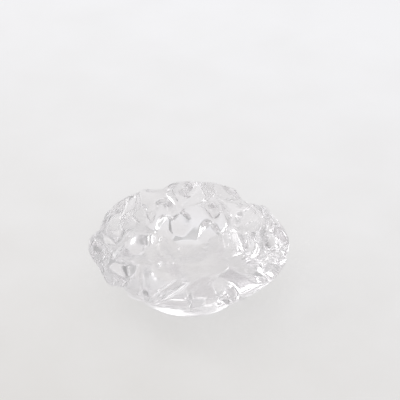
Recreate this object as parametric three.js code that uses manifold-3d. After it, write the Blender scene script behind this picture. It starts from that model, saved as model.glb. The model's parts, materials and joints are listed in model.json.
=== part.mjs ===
// A low, round candle holder pressed from one gob of clear glass.
// Hollow facets with sharp ridges between them, like broken ice, cover its flank and crown.
// A plain tapered well in the crown takes a tea light. It stands on a flat round foot.
// Millimetres, +Z up, origin at the middle of the foot's resting face.

import * as THREE from "three";
import { ConvexGeometry } from "three/addons/geometries/ConvexGeometry.js";
import { mergeVertices } from "three/addons/utils/BufferGeometryUtils.js";
import Module from "manifold-3d";

// Driving dimensions: the plain blank before it is cut
const FOOT_RADIUS = 27; // flat resting face
const FOOT_EDGE = 1.2; // rounding between the resting face and the foot band
const FOOT_BAND_HEIGHT = 6; // plain band above the resting face
const FOOT_BAND_FLARE = 1.5; // how much wider the band is at its top
const GIRTH_RADIUS = 50.6; // widest part of the blank
const FLANK_LOW = 23; // heights that the flank's curve leans to, low down and high up
const FLANK_HIGH = 28;
const CROWN_RADIUS = 32; // ridge round the top
const CROWN_HEIGHT = 44.8;
const LIP_HEIGHT = 43; // the top dips from the ridge to the well

// Driving dimensions: the well for a tea light, 38 to 39 mm across and 15 to 18 mm tall
const WELL_MOUTH_RADIUS = 22; // at the lip
const WELL_FLOOR_RADIUS = 21; // the wall tapers by a moulding draft
const WELL_FLOOR_HEIGHT = 13; // glass left under the candle
const WELL_CORNER = 3; // rounding where the wall meets the floor

// Driving dimensions: the hollow facets cut into the blank
const CUT_PITCH = 25; // spacing along a row of the flank
const CUT_ROWS = 3; // from above the foot band to the lip
const CUT_RADIUS = 25; // half width of a cutter at its brim
const CUT_DEPTH = 7; // depth of a cutter's floor below the blank's surface
const CUT_BRIM = 5; // height of its brim above the blank's surface
const CUT_KINDS = 7; // different cutters, used in turn
const FOOT_ROW_SCALE = 0.62; // the facets of the lowest row are smaller
const FOOT_ROW_PITCH = 17; // and closer together
const FOOT_ROW_CLEAR = 0.6; // and this share of a cutter's radius above the foot band
const CROWN_ROW_SCALE = 1.0; // the facets round the lip are as large as the flank's
const CROWN_ROW_PITCH = 22; // but closer together
const FLOOR_POINTS = 3;
const BRIM_POINTS = 4;
const FLOOR_SHARE = 0.35; // floor radius over brim radius
const UNEVEN_RADIUS = 0.18; // how much a cutter's radii vary, as a share
const UNEVEN_DEPTH = 0.35; // how much its floor's depths vary, as a share
const UNEVEN_TURN = 0.25; // how much its points stray round it, as a share of their spacing
const STRAY = 0.24; // how far a cut strays from its place, as a share of its row's pitch
const SEED = 329; // picks one scatter of the cuts
const REACH_STREAM = 0.5; // added to the seed, so that each choice has a scatter of its own
const LEVEL_STREAM = 0.7;
const CLIMB_STREAM = 0.3;
const SPIN_STREAM = 0.6;
const KIND_STEP_ALONG = 2; // how the kinds take turns along a row
const KIND_STEP_UP = 3; // and from row to row

// Fineness of round surfaces
const ROUND_SIDES = 72;
const FLANK_STEPS = 14;
const CORNER_STEPS = 5;
const MERGE_DISTANCE = 1e-4; // corners this near are one corner

const wasm = await Module();
wasm.setup();

// Even scatter from 0 to 1 that is the same on every run: the far decimals of a steep sine wave.
function scatter(a, b) {
  const [turnA, turnB, steepness] = [12.9898, 78.233, 43758.5453];
  const wave = Math.sin(a * turnA + b * turnB) * steepness;
  return wave - Math.floor(wave);
}

// The same scatter from -share to +share.
function sway(a, b, share) {
  return (2 * scatter(a, b) - 1) * share;
}

function solidOf(geometry) {
  const bare = geometry.clone();
  bare.deleteAttribute("normal");
  bare.deleteAttribute("uv");
  const merged = mergeVertices(bare, MERGE_DISTANCE);
  return new wasm.Manifold(
    new wasm.Mesh({
      numProp: 3,
      vertProperties: merged.attributes.position.array,
      triVerts: new Uint32Array(merged.index.array),
    }),
  );
}

function geometryOf(solid) {
  const mesh = solid.getMesh();
  const geometry = new THREE.BufferGeometry();
  geometry.setAttribute("position", new THREE.BufferAttribute(mesh.vertProperties, 3));
  geometry.setIndex(new THREE.BufferAttribute(mesh.triVerts, 1));
  geometry.computeVertexNormals();
  return geometry;
}

// A profile of radius and height, turned round the Z axis.
function turned(points) {
  return new THREE.LatheGeometry(points, ROUND_SIDES).rotateX(Math.PI / 2);
}

// The flank from the top of the foot band over the girth to the crown's ridge.
function flankCurve() {
  const foot = new THREE.Vector2(FOOT_RADIUS + FOOT_BAND_FLARE, FOOT_BAND_HEIGHT);
  const crown = new THREE.Vector2(CROWN_RADIUS, CROWN_HEIGHT);
  const belly = (8 * GIRTH_RADIUS - foot.x - crown.x) / 6; // puts the curve's middle at the girth
  const low = new THREE.Vector2(belly, FLANK_LOW);
  const high = new THREE.Vector2(belly, FLANK_HIGH);
  return new THREE.CubicBezierCurve(foot, low, high, crown);
}

// The blank's outline from the foot's middle up the flank, then over the crown to the axis.
function blankOutline() {
  const outline = new THREE.Path();
  outline.moveTo(0, 0);
  outline.lineTo(FOOT_RADIUS - FOOT_EDGE, 0);
  outline.absarc(FOOT_RADIUS - FOOT_EDGE, FOOT_EDGE, FOOT_EDGE, -Math.PI / 2, 0);
  const lower = outline.getPoints(CORNER_STEPS);
  const lip = new THREE.Vector2(WELL_MOUTH_RADIUS, LIP_HEIGHT);
  return [...lower, ...flankCurve().getPoints(FLANK_STEPS), lip, new THREE.Vector2(0, LIP_HEIGHT)];
}

// The well's outline, carried on past the crown so that it opens at the top.
function wellOutline() {
  const top = CROWN_HEIGHT + CUT_BRIM;
  const draft = (WELL_MOUTH_RADIUS - WELL_FLOOR_RADIUS) / (LIP_HEIGHT - WELL_FLOOR_HEIGHT);
  const outline = new THREE.Path();
  outline.moveTo(0, WELL_FLOOR_HEIGHT);
  outline.lineTo(WELL_FLOOR_RADIUS - WELL_CORNER, WELL_FLOOR_HEIGHT);
  outline.absarc(
    WELL_FLOOR_RADIUS - WELL_CORNER,
    WELL_FLOOR_HEIGHT + WELL_CORNER,
    WELL_CORNER,
    -Math.PI / 2,
    0,
  );
  outline.lineTo(WELL_FLOOR_RADIUS + draft * (top - WELL_FLOOR_HEIGHT), top);
  outline.lineTo(0, top);
  return outline.getPoints(CORNER_STEPS);
}

// One kind of cutter: the hull of a small uneven floor and a wide brim, with the glass along -Z.
function cutter(kind) {
  const points = [];
  const ring = (count, radius, height, uneven) => {
    for (let i = 0; i < count; i++) {
      const angle = ((i + sway(SEED + kind, i + count, UNEVEN_TURN)) / count) * 2 * Math.PI;
      const reach = radius * (1 + sway(SEED + kind + REACH_STREAM, i + count, UNEVEN_RADIUS));
      const level = height * (1 + sway(SEED + kind + LEVEL_STREAM, i + count, uneven));
      points.push(new THREE.Vector3(reach * Math.cos(angle), reach * Math.sin(angle), level));
    }
  };
  ring(FLOOR_POINTS, CUT_RADIUS * FLOOR_SHARE, -CUT_DEPTH, UNEVEN_DEPTH);
  ring(BRIM_POINTS, CUT_RADIUS, CUT_BRIM, 0);
  return new ConvexGeometry(points);
}

// The band that the cuts cover: up the flank and over the crown to the lip.
function reliefBand() {
  const lip = new THREE.Vector2(WELL_MOUTH_RADIUS, LIP_HEIGHT);
  const crown = new THREE.Vector2(CROWN_RADIUS, CROWN_HEIGHT);
  const band = new THREE.CurvePath();
  band.add(flankCurve());
  band.add(new THREE.LineCurve(crown, lip));
  return band;
}

// Size and spacing of the cuts in a row: small and close at the foot, large but close round the lip.
function rowSizes(row) {
  if (row === 0) {
    return { size: FOOT_ROW_SCALE, pitch: FOOT_ROW_PITCH };
  }
  if (row === CUT_ROWS - 1) {
    return { size: CROWN_ROW_SCALE, pitch: CROWN_ROW_PITCH };
  }
  return { size: 1, pitch: CUT_PITCH };
}

// Where each cut sits: staggered rows along the band, the last half a spacing short of the lip.
function cutPlaces() {
  const band = reliefBand();
  const length = band.getLength();
  const first = CUT_RADIUS * FOOT_ROW_CLEAR;
  const spacing = (length - first) / (CUT_ROWS - 0.5);
  const places = [];
  for (let row = 0; row < CUT_ROWS; row++) {
    const along = first + row * spacing;
    const radius = band.getPointAt(along / length).x;
    const { size, pitch } = rowSizes(row);
    const count = Math.round((2 * Math.PI * radius) / pitch);
    for (let i = 0; i < count; i++) {
      const turn = ((i + (row % 2) / 2 + sway(SEED + row, i, STRAY)) / count) * 2 * Math.PI;
      const reach = (along + sway(SEED + row + CLIMB_STREAM, i, STRAY) * pitch) / length;
      const up = THREE.MathUtils.clamp(reach, 0, 1);
      const point = band.getPointAt(up);
      const tangent = band.getTangentAt(up);
      const spin = scatter(SEED + row + SPIN_STREAM, i) * 2 * Math.PI;
      const kind = (row * KIND_STEP_UP + i * KIND_STEP_ALONG) % CUT_KINDS;
      places.push({ turn, point, tangent, spin, size, kind });
    }
  }
  return places;
}

// A place's frame: X round the body, Y up the outline, Z out of the glass.
function frameAt({ turn, point, tangent, spin, size }) {
  const around = new THREE.Vector3(-Math.sin(turn), Math.cos(turn), 0);
  const out = new THREE.Vector3(Math.cos(turn), Math.sin(turn), 0);
  const up = out.clone().multiplyScalar(tangent.x).add(new THREE.Vector3(0, 0, tangent.y));
  const normal = new THREE.Vector3().crossVectors(around, up);
  const frame = new THREE.Matrix4().makeBasis(around, up, normal);
  frame.multiply(new THREE.Matrix4().makeRotationZ(spin));
  frame.multiply(new THREE.Matrix4().makeScale(size, size, size));
  return frame.setPosition(out.multiplyScalar(point.x).setZ(point.y));
}

// The largest body of a solid, without the loose chips that crossing cuts leave.
function withoutChips(solid) {
  return solid.decompose().reduce((kept, piece) => (piece.volume() > kept.volume() ? piece : kept));
}

function glassBody() {
  const kinds = Array.from({ length: CUT_KINDS }, (_, kind) => cutter(kind));
  const cutters = cutPlaces().map((place) => solidOf(kinds[place.kind].clone().applyMatrix4(frameAt(place))));
  const blank = solidOf(turned(blankOutline()));
  const well = solidOf(turned(wellOutline()));
  const faceted = cutters.reduce((body, piece) => body.subtract(piece), blank);
  return geometryOf(withoutChips(faceted.subtract(well)));
}

const clearGlass = new THREE.MeshStandardMaterial({
  color: 0xf1f4f3,
  roughness: 0.03,
  metalness: 0,
  transparent: true,
  opacity: 0.35,
});

const body = new THREE.Mesh(glassBody(), clearGlass);
body.name = "glass_body";

const holder = new THREE.Group();
holder.add(body);

export default holder;
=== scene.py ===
"""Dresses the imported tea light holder: its fine glass body, a plain studio and the camera."""

import json
import logging
import math
from dataclasses import dataclass, field
from enum import Enum

import bmesh
import bpy
from mathutils import Matrix, Vector

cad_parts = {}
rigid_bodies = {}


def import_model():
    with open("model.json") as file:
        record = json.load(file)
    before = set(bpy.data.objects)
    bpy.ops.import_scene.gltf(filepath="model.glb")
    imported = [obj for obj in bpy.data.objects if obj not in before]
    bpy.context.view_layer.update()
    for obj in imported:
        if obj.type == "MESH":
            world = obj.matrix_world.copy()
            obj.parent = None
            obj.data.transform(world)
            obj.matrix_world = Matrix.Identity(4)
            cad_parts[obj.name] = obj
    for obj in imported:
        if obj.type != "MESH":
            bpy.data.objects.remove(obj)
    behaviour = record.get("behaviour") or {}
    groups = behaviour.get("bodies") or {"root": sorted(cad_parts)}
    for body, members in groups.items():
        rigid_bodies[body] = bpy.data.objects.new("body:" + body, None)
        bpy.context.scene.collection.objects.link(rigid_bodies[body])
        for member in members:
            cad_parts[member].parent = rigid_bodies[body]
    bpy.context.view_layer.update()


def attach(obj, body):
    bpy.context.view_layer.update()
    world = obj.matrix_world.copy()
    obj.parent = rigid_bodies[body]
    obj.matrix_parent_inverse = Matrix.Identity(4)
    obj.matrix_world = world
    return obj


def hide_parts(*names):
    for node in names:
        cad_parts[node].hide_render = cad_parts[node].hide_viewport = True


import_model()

LOG = logging.getLogger("tea_light_holder")
MM = 0.001
TURN = 2 * math.pi


class Stored(Enum):
    """Values kept at a mesh's points for the node tree, as name and type."""

    ROOT = ("root", "FLOAT_VECTOR")
    OUT = ("out", "FLOAT_VECTOR")
    SHARE = ("share", "FLOAT")
    POLISH = ("polish", "FLOAT")
    FACING = ("facing", "QUATERNION")
    SIZE = ("size", "FLOAT")
    KIND = ("kind", "INT")


def linear(hex_colour: str) -> tuple[float, float, float, float]:
    """Turns an sRGB hex colour into Blender's linear colour.

    Args:
        hex_colour: Six hex digits, such as "f4f6f5".

    Returns:
        Linear red, green and blue, and an alpha of 1.
    """
    parts = [int(hex_colour[i : i + 2], 16) / 255 for i in (0, 2, 4)]
    bent = [p / 12.92 if p <= 0.04045 else ((p + 0.055) / 1.055) ** 2.4 for p in parts]
    return (bent[0], bent[1], bent[2], 1.0)


def add_node(tree: bpy.types.NodeTree, kind: str, inputs: dict | None = None, **settings) -> bpy.types.Node:
    """Adds one node with its settings, values and links.

    Args:
        tree: The node tree that takes the node.
        kind: Blender's name for the node's type.
        inputs: Socket name or number, to a value or to the socket that feeds it.
        **settings: Properties of the node itself.

    Returns:
        The new node.
    """
    node = tree.nodes.new(kind)
    for name, value in settings.items():
        setattr(node, name, value)
    for key, value in (inputs or {}).items():
        socket = node.inputs[key]
        if isinstance(value, bpy.types.NodeSocket):
            tree.links.new(value, socket)
        else:
            socket.default_value = value
    return node


def store(mesh: bpy.types.Mesh, what: Stored, values: list) -> None:
    """Stores one value at each point of a mesh.

    Args:
        mesh: The mesh that takes the values.
        what: Which of the stored values they are.
        values: Numbers, or vectors or quaternions.
    """
    name, kind = what.value
    data = mesh.attributes.new(name, kind, "POINT").data
    if kind in ("FLOAT", "INT"):
        data.foreach_set("value", values)
    else:
        key = "vector" if kind == "FLOAT_VECTOR" else "value"
        data.foreach_set(key, [part for value in values for part in value])


def scatter(a: float, b: float) -> float:
    """Gives an even scatter from 0 to 1 that is the same on every run.

    Args:
        a: Which stream of the scatter.
        b: Which value of that stream.

    Returns:
        The far decimals of a steep sine wave.
    """
    turn_a, turn_b, steepness = 12.9898, 78.233, 43758.5453
    wave = math.sin(a * turn_a + b * turn_b) * steepness
    return wave - math.floor(wave)


def sway(a: float, b: float, share: float) -> float:
    """Gives the same scatter from -share to +share."""
    return (2 * scatter(a, b) - 1) * share


@dataclass(frozen=True)
class ClearGlass:
    """Colourless soda-lime glass, pressed in a mould and fire-polished.

    The eye sees bright, slightly wavy skin, dark and light flashes where facets bend the light,
    and next to no colour except along the longest paths through the glass.
    """

    tint: str = "fdfcfd"
    ior: float = 1.52
    bright_roughness: float = 0.08
    dulled_roughness: float = 0.12
    wave_mm: float = 7.0
    wave_depth_mm: float = 0.05
    wave_detail: float = 1.0
    bright_below: float = 0.35
    dulled_above: float = 0.75
    absorb_tint: str = "e6e0e6"
    absorb_per_m: float = 1.6

    def material(self) -> bpy.types.Material:
        """Builds the glass.

        Returns:
            The material.
        """
        material = bpy.data.materials.new("fire_polished_pressed_glass")
        material.use_nodes = True
        tree = material.node_tree
        tree.nodes.clear()
        place = add_node(tree, "ShaderNodeTexCoord").outputs["Object"]
        scale = 1 / (self.wave_mm * MM)
        wave = add_node(
            tree,
            "ShaderNodeTexNoise",
            {"Vector": place, "Scale": scale, "Detail": self.wave_detail},
        )
        bump = add_node(
            tree,
            "ShaderNodeBump",
            {"Height": wave.outputs["Fac"], "Distance": self.wave_depth_mm * MM, "Strength": 1.0},
        )
        gloss = add_node(
            tree,
            "ShaderNodeMapRange",
            {
                0: wave.outputs["Fac"],
                1: self.bright_below,
                2: self.dulled_above,
                3: self.bright_roughness,
                4: self.dulled_roughness,
            },
        )
        shader = add_node(
            tree,
            "ShaderNodeBsdfPrincipled",
            {
                "Base Color": linear(self.tint),
                "Roughness": gloss.outputs[0],
                "IOR": self.ior,
                "Transmission Weight": 1.0,
                "Normal": bump.outputs["Normal"],
            },
        )
        depth = add_node(
            tree,
            "ShaderNodeVolumeAbsorption",
            {"Color": linear(self.absorb_tint), "Density": self.absorb_per_m},
        )
        add_node(
            tree,
            "ShaderNodeOutputMaterial",
            {"Surface": shader.outputs[0], "Volume": depth.outputs[0]},
        )
        return material


@dataclass(frozen=True)
class PaintedBoard:
    """A pale, matt painted board, faintly blotched, with painted light falloff that makes it paler away from
    the viewer.

    The eye sees a bright ground without edges, on which a soft shadow shows.
    """

    # The near and far tones are the ends of a painted light falloff: shaded near the viewer, lit at the back.
    shaded_near_tone: str = "dfdddb"
    lit_far_tone: str = "f4f4f6"
    near_mm: float = -135.0
    far_mm: float = 296.0
    turn_deg: float = 22.0
    blotch_mm: float = 40.0
    blotch_share: float = 0.08
    blotch_detail: float = 4.0
    blotch_low: float = 0.3
    blotch_high: float = 0.7
    roughness: float = 0.6
    glow_share: float = 0.8

    def tone(self, tree: bpy.types.NodeTree) -> bpy.types.NodeSocket:
        """Adds the nodes of the board's colour: its faint blotches and a painted light falloff from the
        shaded near tone to the lit far tone.

        Args:
            tree: The material's node tree.

        Returns:
            The socket that gives the colour.
        """
        place = add_node(tree, "ShaderNodeTexCoord").outputs["Object"]
        turn = math.radians(self.turn_deg)
        along = add_node(
            tree,
            "ShaderNodeVectorMath",
            {0: place, 1: (math.sin(turn), math.cos(turn), 0.0)},
            operation="DOT_PRODUCT",
        )
        # Painted light falloff: the colour runs from the darker near tone to the paler far tone along the way
        # towards the back.
        painted_falloff = add_node(
            tree,
            "ShaderNodeMapRange",
            {0: along.outputs["Value"], 1: self.near_mm * MM, 2: self.far_mm * MM},
        )
        scale = 1 / (self.blotch_mm * MM)
        noise = add_node(
            tree,
            "ShaderNodeTexNoise",
            {"Vector": place, "Scale": scale, "Detail": self.blotch_detail},
        )
        blotch = add_node(
            tree,
            "ShaderNodeMapRange",
            {
                0: noise.outputs["Fac"],
                1: self.blotch_low,
                2: self.blotch_high,
                3: -self.blotch_share,
                4: self.blotch_share,
            },
        )
        mixed = add_node(tree, "ShaderNodeMath", {0: painted_falloff.outputs[0], 1: blotch.outputs[0]}, operation="ADD")
        blend = add_node(
            tree,
            "ShaderNodeMix",
            {"Factor": mixed.outputs[0], "A": linear(self.shaded_near_tone), "B": linear(self.lit_far_tone)},
            data_type="RGBA",
        )
        return next(socket for socket in blend.outputs if socket.enabled)

    def material(self) -> bpy.types.Material:
        """Builds the board, which shows a share of its own light to the camera and in the glass.

        Returns:
            The material.
        """
        material = bpy.data.materials.new("matt_painted_board")
        material.use_nodes = True
        tree = material.node_tree
        tree.nodes.clear()
        tone = self.tone(tree)
        paint = add_node(
            tree,
            "ShaderNodeBsdfPrincipled",
            {"Base Color": tone, "Roughness": self.roughness},
        )
        glow = add_node(tree, "ShaderNodeEmission", {"Color": tone, "Strength": 1.0})
        path = add_node(tree, "ShaderNodeLightPath").outputs
        seen = path["Is Camera Ray"]
        for name in ("Is Glossy Ray", "Is Transmission Ray"):
            seen = add_node(tree, "ShaderNodeMath", {0: seen, 1: path[name]}, operation="MAXIMUM").outputs[0]
        share = add_node(tree, "ShaderNodeMath", {0: seen, 1: self.glow_share}, operation="MULTIPLY")
        shader = add_node(
            tree,
            "ShaderNodeMixShader",
            {0: share.outputs[0], 1: paint.outputs[0], 2: glow.outputs[0]},
        )
        add_node(tree, "ShaderNodeOutputMaterial", {"Surface": shader.outputs[0]})
        return material


@dataclass(frozen=True)
class Ring:
    """One ring of the blank, as radius and height in mm.

    A ring moves with a share of the cut that lies over another point, its root, along a way out.
    """

    radius: float
    height: float
    root: tuple[float, float] = (0.0, 0.0)
    out: tuple[float, float] = (0.0, 1.0)
    share: float = 0.0
    polish: float = 0.0


@dataclass(frozen=True)
class Blank:
    """The turned shape before it is cut, in mm: foot, flank, crown and well."""

    foot_radius: float = 27.0
    foot_edge: float = 1.2
    band_height: float = 6.0
    band_flare: float = 1.5
    girth_radius: float = 50.6
    flank_low: float = 23.0
    flank_high: float = 28.0
    crown_radius: float = 32.0
    crown_height: float = 44.8
    lip_height: float = 43.0
    mouth_radius: float = 22.0
    floor_radius: float = 21.0
    floor_height: float = 13.0
    floor_corner: float = 3.0
    steps: int = 400

    def flank(self, t: float) -> Vector:
        """Gives a point of the flank.

        Args:
            t: How far along, from the foot band at 0 to the crown's ridge at 1.

        Returns:
            Its radius and height.
        """
        foot = Vector((self.foot_radius + self.band_flare, self.band_height))
        crown = Vector((self.crown_radius, self.crown_height))
        # The curve's middle lies at an eighth of its ends' radii and six eighths of the belly's.
        belly = (8 * self.girth_radius - foot.x - crown.x) / 6
        low = Vector((belly, self.flank_low))
        high = Vector((belly, self.flank_high))
        s = 1 - t
        return s**3 * foot + 3 * s * s * t * low + 3 * s * t * t * high + t**3 * crown

    def band(self) -> list[Vector]:
        """Gives the cut band's outline, from the foot band over the crown to the lip."""
        flank = [self.flank(i / self.steps) for i in range(self.steps + 1)]
        return [*flank, Vector((self.mouth_radius, self.lip_height))]


@dataclass
class BandWalk:
    """Finds points along the cut band by their distance from the foot band, in mm."""

    points: list[Vector]
    reach: list[float] = field(init=False)

    def __post_init__(self) -> None:
        """Adds up the distances along the outline."""
        self.reach = [0.0]
        for a, b in zip(self.points, self.points[1:]):
            self.reach.append(self.reach[-1] + (b - a).length)

    @property
    def length(self) -> float:
        """Gives the band's whole length."""
        return self.reach[-1]

    def at(self, distance: float) -> tuple[Vector, Vector]:
        """Finds one place on the band.

        Args:
            distance: Distance from the foot band, held to the band's ends.

        Returns:
            The point, and the direction along the band there.
        """
        distance = min(max(distance, 0.0), self.length)
        i = 0
        while i < len(self.points) - 2 and self.reach[i + 1] < distance:
            i += 1
        a, b = self.points[i], self.points[i + 1]
        share = (distance - self.reach[i]) / (self.reach[i + 1] - self.reach[i])
        return a.lerp(b, share), (b - a).normalized()


@dataclass(frozen=True)
class Cuts:
    """The hollow facets cut into the blank, in mm, and where they lie on it."""

    pitch: float = 25.0
    rows: int = 3
    radius: float = 25.0
    depth: float = 7.0
    brim: float = 5.0
    kinds: int = 7
    foot_row_scale: float = 0.62
    foot_row_pitch: float = 17.0
    foot_row_clear: float = 0.6
    crown_row_scale: float = 1.0
    crown_row_pitch: float = 22.0
    floor_points: int = 3
    brim_points: int = 4
    floor_share: float = 0.35
    uneven_radius: float = 0.18
    uneven_depth: float = 0.35
    uneven_turn: float = 0.25
    stray: float = 0.24
    seed: int = 329
    reach_stream: float = 0.5
    level_stream: float = 0.7
    climb_stream: float = 0.3
    spin_stream: float = 0.6
    kind_step_along: int = 2
    kind_step_up: int = 3

    def ring(self, kind: int, count: int, radius: float, height: float, uneven: float) -> list[Vector]:
        """Gives one uneven ring of a cutter's corners.

        Args:
            kind: Which of the different cutters.
            count: Corners in the ring.
            radius: The ring's radius.
            height: The ring's height over the blank.
            uneven: How much the height varies, as a share.

        Returns:
            The corners in metres.
        """
        corners = []
        key = self.seed + kind
        for i in range(count):
            angle = (i + sway(key, i + count, self.uneven_turn)) / count * TURN
            reach = radius * (1 + sway(key + self.reach_stream, i + count, self.uneven_radius))
            level = height * (1 + sway(key + self.level_stream, i + count, uneven))
            corners.append(Vector((reach * math.cos(angle), reach * math.sin(angle), level)) * MM)
        return corners

    def cutter(self, kind: int) -> bpy.types.Mesh:
        """Makes one kind of cutter, the hull of its floor and brim, with the glass below it along -Z.

        Args:
            kind: Which of the different cutters.

        Returns:
            The cutter's mesh.
        """
        floor_radius = self.radius * self.floor_share
        floor = self.ring(kind, self.floor_points, floor_radius, -self.depth, self.uneven_depth)
        brim = self.ring(kind, self.brim_points, self.radius, self.brim, 0.0)
        hull = bmesh.new()
        for corner in [*floor, *brim]:
            hull.verts.new(corner)
        bmesh.ops.convex_hull(hull, input=hull.verts)
        mesh = bpy.data.meshes.new(f"cutter_{kind}")
        hull.to_mesh(mesh)
        hull.free()
        return mesh

    def row_scale(self, row: int) -> float:
        """Gives the size of a row's cutters, which are smaller at the foot."""
        return {0: self.foot_row_scale, self.rows - 1: self.crown_row_scale}.get(row, 1.0)

    def row_pitch(self, row: int) -> float:
        """Gives the spacing along a row, which is closer at the foot and round the lip."""
        return {0: self.foot_row_pitch, self.rows - 1: self.crown_row_pitch}.get(row, self.pitch)

    def places(self, walk: BandWalk) -> bpy.types.Mesh:
        """Sets out the cuts in staggered rows along the band.

        Args:
            walk: The cut band.

        Returns:
            A mesh of points that carry each cut's turn, size and kind.
        """
        first = self.radius * self.foot_row_clear
        # The last row lies half a spacing short of the lip.
        spacing = (walk.length - first) / (self.rows - 0.5)
        spots, facings, sizes, kinds = [], [], [], []
        for row in range(self.rows):
            key = self.seed + row
            along = first + row * spacing
            pitch = self.row_pitch(row)
            count = round(TURN * walk.at(along)[0].x / pitch)
            for i in range(count):
                turn = (i + (row % 2) / 2 + sway(key, i, self.stray)) / count * TURN
                point, run = walk.at(along + sway(key + self.climb_stream, i, self.stray) * pitch)
                spin = scatter(key + self.spin_stream, i) * TURN
                around = Vector((-math.sin(turn), math.cos(turn), 0))
                out = Vector((math.cos(turn), math.sin(turn), 0))
                up = out * run.x + Vector((0, 0, run.y))
                axes = Matrix((around, up, around.cross(up))).transposed()
                spots.append((out * point.x + Vector((0, 0, point.y))) * MM)
                facings.append((axes @ Matrix.Rotation(spin, 3, "Z")).to_quaternion())
                sizes.append(self.row_scale(row))
                kinds.append((row * self.kind_step_up + i * self.kind_step_along) % self.kinds)
        mesh = bpy.data.meshes.new("cut_places")
        mesh.from_pydata(spots, [], [])
        store(mesh, Stored.FACING, facings)
        store(mesh, Stored.SIZE, sizes)
        store(mesh, Stored.KIND, kinds)
        return mesh


@dataclass
class GlassBody:
    """The whole holder: a fine turned blank whose band is sunk to the cuts and polished."""

    glass: ClearGlass
    blank: Blank = field(default_factory=Blank)
    cuts: Cuts = field(default_factory=Cuts)
    sides: int = 520
    grain_mm: float = 0.5
    ray_reach_mm: float = 12.0
    polish_passes: int = 8
    normal_window_mm: float = 5.0
    foot_fade_mm: float = 3.0
    normal_steps: int = 10
    lip_round_mm: float = 2.0
    foot_steps: int = 4
    edge_steps: int = 4
    foot_band_steps: int = 6
    wall_steps: int = 22
    corner_steps: int = 6
    floor_steps: int = 4

    def outward(self, walk: BandWalk, distance: float) -> Vector:
        """Gives the way out of the glass at a place of the band, smoothed past the crown.

        Args:
            walk: The cut band.
            distance: Distance of the place from the foot band.

        Returns:
            The direction, as shares outwards and upwards.
        """
        total = Vector((0.0, 0.0))
        for i in range(-self.normal_steps, self.normal_steps + 1):
            run = walk.at(distance + i / self.normal_steps * self.normal_window_mm)[1]
            total += Vector((run.y, -run.x))
        return total.normalized()

    def foot_rings(self) -> list[Ring]:
        """Gives the rings of the resting face, its rounded edge and the foot band.

        Returns:
            The rings, from the middle outwards and up.
        """
        b = self.blank
        inner = b.foot_radius - b.foot_edge
        flat = [Ring(inner * i / self.foot_steps, 0.0) for i in range(1, self.foot_steps + 1)]
        corner = []
        for i in range(1, self.edge_steps + 1):
            angle = i / self.edge_steps * math.pi / 2
            corner.append(Ring(inner + b.foot_edge * math.sin(angle), b.foot_edge * (1 - math.cos(angle))))
        band = []
        low = Vector((b.foot_radius, b.foot_edge))
        for i in range(1, self.foot_band_steps):
            point = low.lerp(b.flank(0.0), i / self.foot_band_steps)
            band.append(Ring(point.x, point.y))
        return [*flat, *corner, *band]

    def band_rings(self, walk: BandWalk) -> list[Ring]:
        """Gives the rings of the cut band.

        Args:
            walk: The cut band.

        Returns:
            The rings, from the foot band to the lip.
        """
        count = round(walk.length / self.grain_mm)
        rings = []
        for i in range(count + 1):
            distance = i / count * walk.length
            point = walk.at(distance)[0]
            near_lip = min(1.0, (walk.length - distance) / self.normal_window_mm)
            out = Vector((0.0, 1.0)).lerp(self.outward(walk, distance), near_lip).normalized()
            fade = min(1.0, distance / self.foot_fade_mm)
            rings.append(Ring(point.x, point.y, tuple(point), tuple(out), fade, fade))
        return rings

    def well_rings(self) -> list[Ring]:
        """Gives the rings of the well, whose upper wall follows the cuts at the lip.

        Returns:
            The rings, from under the lip down the wall to the floor.
        """
        b = self.blank
        lip = (b.mouth_radius, b.lip_height)
        low = b.floor_height + b.floor_corner
        wall_height = b.lip_height - low
        wall = []
        for i in range(1, self.wall_steps):
            share = 1 - (i / self.wall_steps) ** 2
            radius = b.floor_radius + (b.mouth_radius - b.floor_radius) * share
            height = low + wall_height * share
            polish = max(0.0, 1 - (b.lip_height - height) / self.lip_round_mm)
            wall.append(Ring(radius, height, lip, (0.0, 1.0), share, polish))
        inner = b.floor_radius - b.floor_corner
        corner = []
        for i in range(self.corner_steps + 1):
            angle = i / self.corner_steps * math.pi / 2
            radius = inner + b.floor_corner * math.cos(angle)
            corner.append(Ring(radius, low - b.floor_corner * math.sin(angle)))
        floor = [Ring(inner * (1 - i / self.floor_steps), b.floor_height) for i in range(1, self.floor_steps)]
        return [*wall, *corner, *floor]

    def turned_blank(self, walk: BandWalk) -> bpy.types.Mesh:
        """Turns the rings into one closed mesh that carries each point's root, way out and share.

        Args:
            walk: The cut band.

        Returns:
            The blank's mesh.
        """
        rings = [*self.foot_rings(), *self.band_rings(walk), *self.well_rings()]
        spots = [Vector((0, 0, 0)), Vector((0, 0, self.blank.floor_height * MM))]
        start = len(spots)
        roots, outs = list(spots), [Vector((0, 0, 1))] * start
        shares, polishes = [0.0] * start, [0.0] * start
        for ring in rings:
            for j in range(self.sides):
                angle = j / self.sides * TURN
                side = Vector((math.cos(angle), math.sin(angle), 0))
                spots.append((side * ring.radius + Vector((0, 0, ring.height))) * MM)
                roots.append((side * ring.root[0] + Vector((0, 0, ring.root[1]))) * MM)
                outs.append(side * ring.out[0] + Vector((0, 0, ring.out[1])))
                shares.append(ring.share)
                polishes.append(ring.polish)
        faces = []
        n = self.sides
        last = start + (len(rings) - 1) * n
        for j in range(n):
            k = (j + 1) % n
            faces.append((0, start + k, start + j))
            faces.append((1, last + j, last + k))
            for i in range(len(rings) - 1):
                low, high = start + i * n, start + (i + 1) * n
                faces.append((low + j, low + k, high + k, high + j))
        mesh = bpy.data.meshes.new("glass_blank")
        mesh.from_pydata(spots, [], faces)
        store(mesh, Stored.ROOT, roots)
        store(mesh, Stored.OUT, outs)
        store(mesh, Stored.SHARE, shares)
        store(mesh, Stored.POLISH, polishes)
        return mesh

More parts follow.
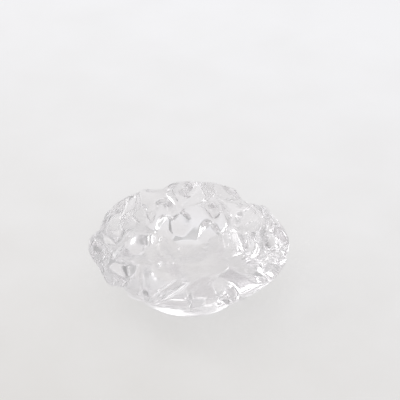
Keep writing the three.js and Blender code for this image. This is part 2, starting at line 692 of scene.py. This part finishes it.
    def relief_tree(self) -> tuple[bpy.types.NodeTree, dict[str, str]]:
        """Builds the node tree that lays the cutters, sinks the blank to them and polishes it.

        Returns:
            The tree, and the identifier of each of its inputs by name.
        """
        tree = bpy.data.node_groups.new("ice_relief", "GeometryNodeTree")
        face = tree.interface
        face.new_socket("Geometry", in_out="INPUT", socket_type="NodeSocketGeometry")
        names = {}
        for name, kind in (
            ("Cutter kinds", "NodeSocketCollection"),
            ("Cut places", "NodeSocketObject"),
            ("Ray reach", "NodeSocketFloat"),
            ("Polish passes", "NodeSocketInt"),
            ("Glass", "NodeSocketMaterial"),
        ):
            names[name] = face.new_socket(name, in_out="INPUT", socket_type=kind).identifier
        face.new_socket("Geometry", in_out="OUTPUT", socket_type="NodeSocketGeometry")
        given = add_node(tree, "NodeGroupInput").outputs

        def stored(what: Stored) -> bpy.types.NodeSocket:
            """Reads one of the stored values.

            Args:
                what: Which of them.

            Returns:
                The socket that gives it.
            """
            name, kind = what.value
            node = add_node(tree, "GeometryNodeInputNamedAttribute", {"Name": name}, data_type=kind)
            return next(socket for socket in node.outputs if socket.enabled and socket.name == "Attribute")

        def vector(operation: str, a: object, b: object) -> bpy.types.NodeSocket:
            """Adds one sum on vectors, or on a vector and a number."""
            key = "Scale" if operation == "SCALE" else 1
            return add_node(tree, "ShaderNodeVectorMath", {0: a, key: b}, operation=operation).outputs[0]

        kit = add_node(
            tree,
            "GeometryNodeCollectionInfo",
            {"Collection": given["Cutter kinds"], "Separate Children": True, "Reset Children": True},
        )
        spots = add_node(tree, "GeometryNodeObjectInfo", {"Object": given["Cut places"]})
        laid = add_node(
            tree,
            "GeometryNodeInstanceOnPoints",
            {
                "Points": spots.outputs["Geometry"],
                "Instance": kit.outputs["Instances"],
                "Pick Instance": True,
                "Instance Index": stored(Stored.KIND),
                "Rotation": stored(Stored.FACING),
                "Scale": stored(Stored.SIZE),
            },
        )
        cutters = add_node(tree, "GeometryNodeRealizeInstances", {"Geometry": laid.outputs["Instances"]})
        out = stored(Stored.OUT)
        root = stored(Stored.ROOT)
        ray = add_node(
            tree,
            "GeometryNodeRaycast",
            {
                "Target Geometry": cutters.outputs["Geometry"],
                "Source Position": vector("SUBTRACT", root, vector("SCALE", out, given["Ray reach"])),
                "Ray Direction": out,
                "Ray Length": given["Ray reach"],
            },
        )
        drop = vector("SUBTRACT", ray.outputs["Hit Position"], root)
        sunk = vector("SCALE", drop, stored(Stored.SHARE))
        offset = add_node(
            tree,
            "GeometryNodeSwitch",
            {"Switch": ray.outputs["Is Hit"], "True": sunk, "False": (0.0, 0.0, 0.0)},
            input_type="VECTOR",
        )
        cut = add_node(
            tree,
            "GeometryNodeSetPosition",
            {"Geometry": given["Geometry"], "Offset": offset.outputs[0]},
        )
        soft = add_node(
            tree,
            "GeometryNodeBlurAttribute",
            {
                "Value": add_node(tree, "GeometryNodeInputPosition").outputs[0],
                "Iterations": given["Polish passes"],
                "Weight": stored(Stored.POLISH),
            },
            data_type="FLOAT_VECTOR",
        )
        polished = add_node(
            tree,
            "GeometryNodeSetPosition",
            {"Geometry": cut.outputs[0], "Position": soft.outputs[0]},
        )
        smooth = add_node(tree, "GeometryNodeSetShadeSmooth", {"Geometry": polished.outputs[0]})
        whole = add_node(tree, "GeometryNodeRealizeInstances", {"Geometry": smooth.outputs[0]})
        dressed = add_node(
            tree,
            "GeometryNodeSetMaterial",
            {"Geometry": whole.outputs[0], "Material": given["Glass"]},
        )
        add_node(tree, "NodeGroupOutput", {"Geometry": dressed.outputs[0]})
        return tree, names

    def cutter_kit(self) -> bpy.types.Collection:
        """Gathers one cutter of each kind.

        Returns:
            A collection that isn't in the scene.
        """
        kit = bpy.data.collections.new("cutter_kinds")
        for kind in range(self.cuts.kinds):
            kit.objects.link(bpy.data.objects.new(f"cutter_{kind}", self.cuts.cutter(kind)))
        return kit

    def build(self) -> bpy.types.Object:
        """Makes the glass body, as a plain mesh that carries its glass.

        Returns:
            The piece.
        """
        scene = bpy.context.scene.collection
        walk = BandWalk(self.blank.band())
        kit = self.cutter_kit()
        spots = bpy.data.objects.new("cut_places", self.cuts.places(walk))
        cut_count = len(spots.data.vertices)
        piece = bpy.data.objects.new("faceted_glass_body", self.turned_blank(walk))
        scene.objects.link(spots)
        scene.objects.link(piece)
        tree, names = self.relief_tree()
        relief = piece.modifiers.new("ice_relief", "NODES")
        relief.node_group = tree
        relief[names["Cutter kinds"]] = kit
        relief[names["Cut places"]] = spots
        relief[names["Ray reach"]] = self.ray_reach_mm * MM
        relief[names["Polish passes"]] = self.polish_passes
        relief[names["Glass"]] = self.glass.material()
        graph = bpy.context.evaluated_depsgraph_get()
        mesh = bpy.data.meshes.new_from_object(piece.evaluated_get(graph), depsgraph=graph)
        piece.modifiers.remove(relief)
        piece.data = mesh
        for what in (Stored.ROOT, Stored.OUT, Stored.SHARE, Stored.POLISH):
            mesh.attributes.remove(mesh.attributes[what.value[0]])
        bpy.data.objects.remove(spots)
        for cutter in list(kit.objects):
            bpy.data.objects.remove(cutter)
        bpy.data.collections.remove(kit)
        LOG.info("%s: %d cuts, %d faces", piece.name, cut_count, len(mesh.polygons))
        return piece

    def dress(self, piece: bpy.types.Object) -> None:
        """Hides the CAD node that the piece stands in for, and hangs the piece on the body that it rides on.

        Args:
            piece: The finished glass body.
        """
        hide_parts("glass_body")
        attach(piece, "root")


@dataclass(frozen=True)
class Studio:
    """A pale floor under soft light, and the camera, in mm where it is a length."""

    board: PaintedBoard
    floor_half: float = 3000.0
    floor_gap: float = 0.2
    sky_top: str = "ffffff"
    sky_low: str = "707070"
    sky_strength: float = 0.8
    sky_lean_deg: float = 30.0
    sky_dark_from: float = -0.4
    panel_size: float = 800.0
    panel_height: float = 1000.0
    panel_back: float = 100.0
    panel_watts: float = 1.8
    window_size: float = 500.0
    window_side: float = -700.0
    window_height: float = 700.0
    window_back: float = 250.0
    window_watts: float = 3.0
    fill_size: float = 900.0
    fill_height: float = 700.0
    fill_front: float = 700.0
    fill_watts: float = 2.0
    tilt_deg: float = 32.0
    pixel_mm: float = 0.508
    image_side: int = 400
    foot_pixel: tuple[float, float] = (189.0, 288.0)
    camera_far: float = 1500.0
    sensor_mm: float = 36.0
    light_bounces: int = 32

    def floor(self) -> bpy.types.Object:
        """Lays the pale floor.

        Returns:
            The floor, which is part of the stage.
        """
        mesh = bpy.data.meshes.new("floor")
        half, low = self.floor_half * MM, -self.floor_gap * MM
        mesh.from_pydata(
            [(-half, -half, low), (half, -half, low), (half, half, low), (-half, half, low)],
            [],
            [(0, 1, 2, 3)],
        )
        mesh.materials.append(self.board.material())
        floor = bpy.data.objects.new("floor", mesh)
        bpy.context.scene.collection.objects.link(floor)
        LOG.info("floor: %g mm across", 2 * self.floor_half)
        return floor

    def sky(self) -> None:
        """Sets a pale surround that is brightest above and behind the object."""
        world = bpy.data.worlds.new("studio_surround")
        world.use_nodes = True
        bpy.context.scene.world = world
        tree = world.node_tree
        tree.nodes.clear()
        way = add_node(tree, "ShaderNodeTexCoord").outputs["Generated"]
        lean = math.radians(self.sky_lean_deg)
        toward = add_node(
            tree,
            "ShaderNodeVectorMath",
            {0: way, 1: (0.0, math.sin(lean), math.cos(lean))},
            operation="DOT_PRODUCT",
        )
        share = add_node(
            tree,
            "ShaderNodeMapRange",
            {0: toward.outputs["Value"], 1: self.sky_dark_from, 2: 1.0},
        )
        blend = add_node(
            tree,
            "ShaderNodeMix",
            {"Factor": share.outputs[0], "A": linear(self.sky_low), "B": linear(self.sky_top)},
            data_type="RGBA",
        )
        colour = next(socket for socket in blend.outputs if socket.enabled)
        light = add_node(
            tree,
            "ShaderNodeBackground",
            {"Color": colour, "Strength": self.sky_strength},
        )
        add_node(tree, "ShaderNodeOutputWorld", {"Surface": light.outputs[0]})

    def lamp(self, name: str, size: float, watts: float, spot: Vector) -> bpy.types.Object:
        """Hangs one square lamp that faces the object.

        Args:
            name: The lamp's name.
            size: Its side in mm.
            watts: Its power.
            spot: Where it hangs, in mm.

        Returns:
            The lamp.
        """
        light = bpy.data.lights.new(name, "AREA")
        light.shape = "SQUARE"
        light.size = size * MM
        light.energy = watts
        lamp = bpy.data.objects.new(name, light)
        lamp.location = spot * MM
        lamp.rotation_euler = spot.to_track_quat("Z", "Y").to_euler()
        bpy.context.scene.collection.objects.link(lamp)
        LOG.info("%s: %g W", name, watts)
        return lamp

    def lamps(self) -> None:
        """Hangs a soft panel overhead, a lamp like a window at the left and a broad fill lamp in front."""
        panel_spot = Vector((0, self.panel_back, self.panel_height))
        self.lamp("soft_panel", self.panel_size, self.panel_watts, panel_spot)
        window_spot = Vector((self.window_side, self.window_back, self.window_height))
        self.lamp("window_lamp", self.window_size, self.window_watts, window_spot)
        fill_spot = Vector((0, -self.fill_front, self.fill_height))
        self.lamp("fill_lamp", self.fill_size, self.fill_watts, fill_spot)

    def camera(self) -> bpy.types.Object:
        """Sets the camera at the photograph's viewing angle, framed by where the foot stands.

        Returns:
            The camera.
        """
        tilt = math.radians(self.tilt_deg)
        upward = Vector((0, math.sin(tilt), math.cos(tilt)))
        back = Vector((0, -math.cos(tilt), math.sin(tilt)))
        half = self.image_side / 2
        aside = (half - self.foot_pixel[0]) * self.pixel_mm
        above = (self.foot_pixel[1] - half) * self.pixel_mm
        aim = Vector((aside, 0, 0)) + upward * above
        lens = bpy.data.cameras.new("camera")
        lens.sensor_width = self.sensor_mm
        lens.lens = self.sensor_mm * self.camera_far / (self.image_side * self.pixel_mm)
        camera = bpy.data.objects.new("camera", lens)
        camera.location = (aim + back * self.camera_far) * MM
        camera.rotation_euler = back.to_track_quat("Z", "Y").to_euler()
        bpy.context.scene.collection.objects.link(camera)
        bpy.context.scene.camera = camera
        return camera

    def build(self) -> None:
        """Sets up floor, light, camera and colour."""
        self.floor()
        self.sky()
        self.lamps()
        self.camera()
        bpy.context.scene.view_settings.view_transform = "Standard"
        bpy.context.scene.cycles.max_bounces = self.light_bounces
        bpy.context.scene.cycles.transmission_bounces = self.light_bounces
        bpy.context.scene.cycles.glossy_bounces = self.light_bounces
        # The guide passes of clear glass are grainy, so the grain is cleaned by colour alone.
        bpy.context.scene.cycles.denoising_input_passes = "RGB"


def main() -> None:
    """Builds the studio and the glass body, and reports each piece."""
    logging.basicConfig(level=logging.INFO, format="%(name)s: %(message)s")
    Studio(board=PaintedBoard()).build()
    body = GlassBody(glass=ClearGlass())
    body.dress(body.build())


if __name__ == "__main__":
    main()
